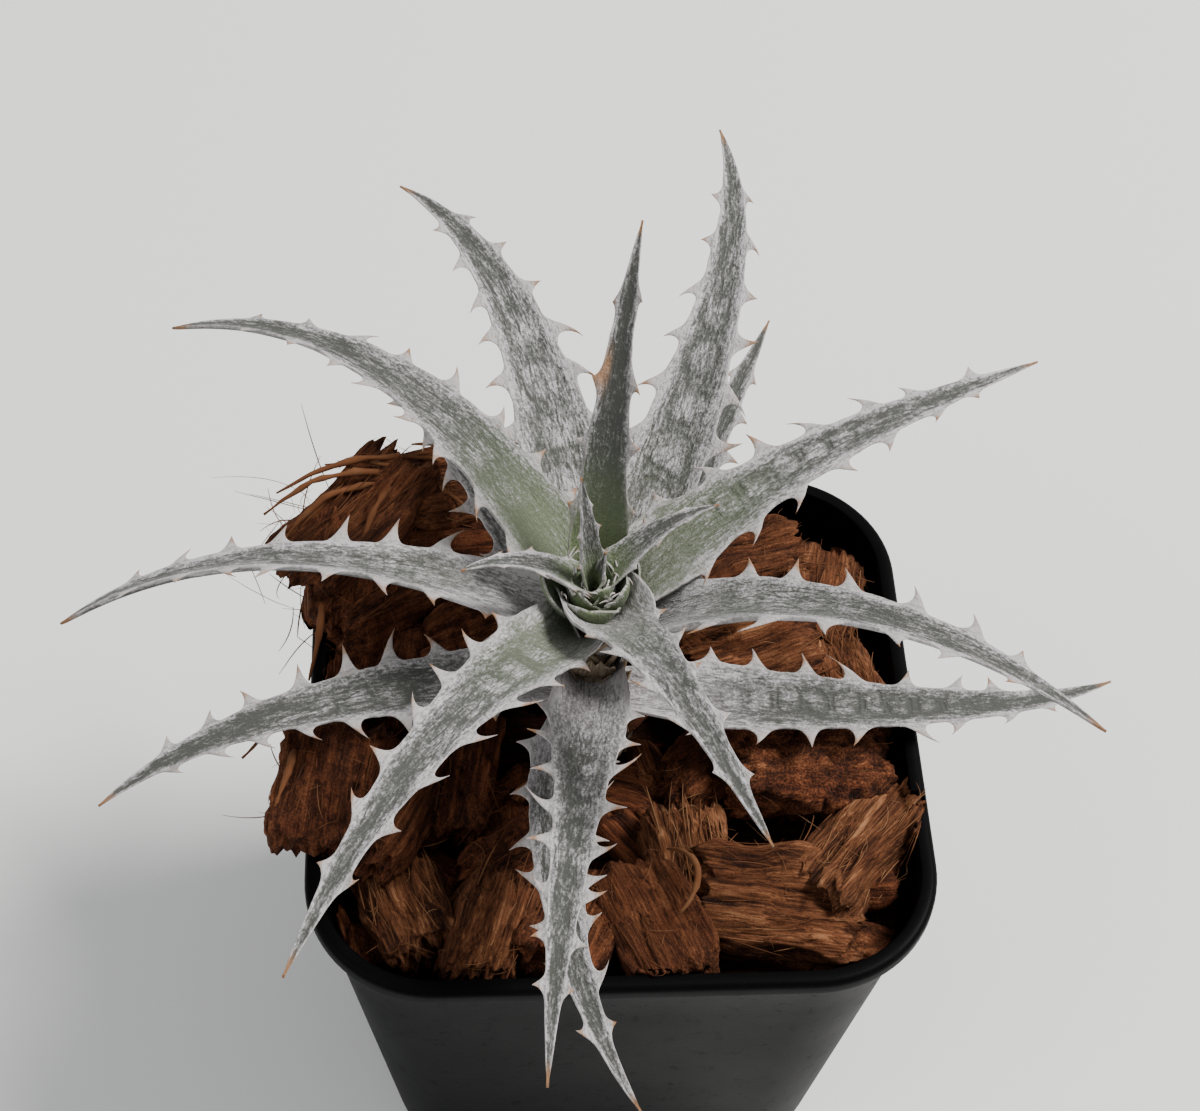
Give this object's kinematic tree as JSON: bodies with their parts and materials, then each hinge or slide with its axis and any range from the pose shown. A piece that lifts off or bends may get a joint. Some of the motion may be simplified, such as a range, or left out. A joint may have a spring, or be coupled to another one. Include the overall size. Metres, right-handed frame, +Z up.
{
  "type": "potted dyckia bromeliad",
  "caption": "Spiny rosette of silvery channelled leaves on a short stem, in a tapered square nursery pot filled with coconut husk chips.",
  "frame": {"origin": "middle of the pot's flat underside", "axes": "+Z up; the pot's walls are square to X and Y, and its front is towards -Y"},
  "size_m": [0.1738, 0.1741, 0.1737],
  "materials": {
    "pot": "black moulded plastic, satin",
    "husk": "rough fibrous coconut husk",
    "stem": "dry, scarred",
    "leaf": "powdery silver-grey scales over green",
    "young_leaf": "grey-green, lightly powdered"
  },
  "bodies": {
    "root": {"pot": "pot", "husk_chips": "husk", "stem": "stem", "leaf_low_right": "leaf", "leaf_low_front": "leaf", "leaf_low_back_right": "leaf", "leaf_low_left": "leaf", "leaf_low_back_left": "leaf", "leaf_front": "leaf", "leaf_back_right": "leaf", "leaf_back_left": "leaf", "leaf_left": "leaf", "leaf_right": "leaf", "leaf_upper_left": "leaf", "leaf_upper_front": "leaf", "leaf_upper_right": "leaf", "leaf_young_front": "leaf", "leaf_young_back": "leaf", "heart": "young_leaf"}
  },
  "joints": []
}
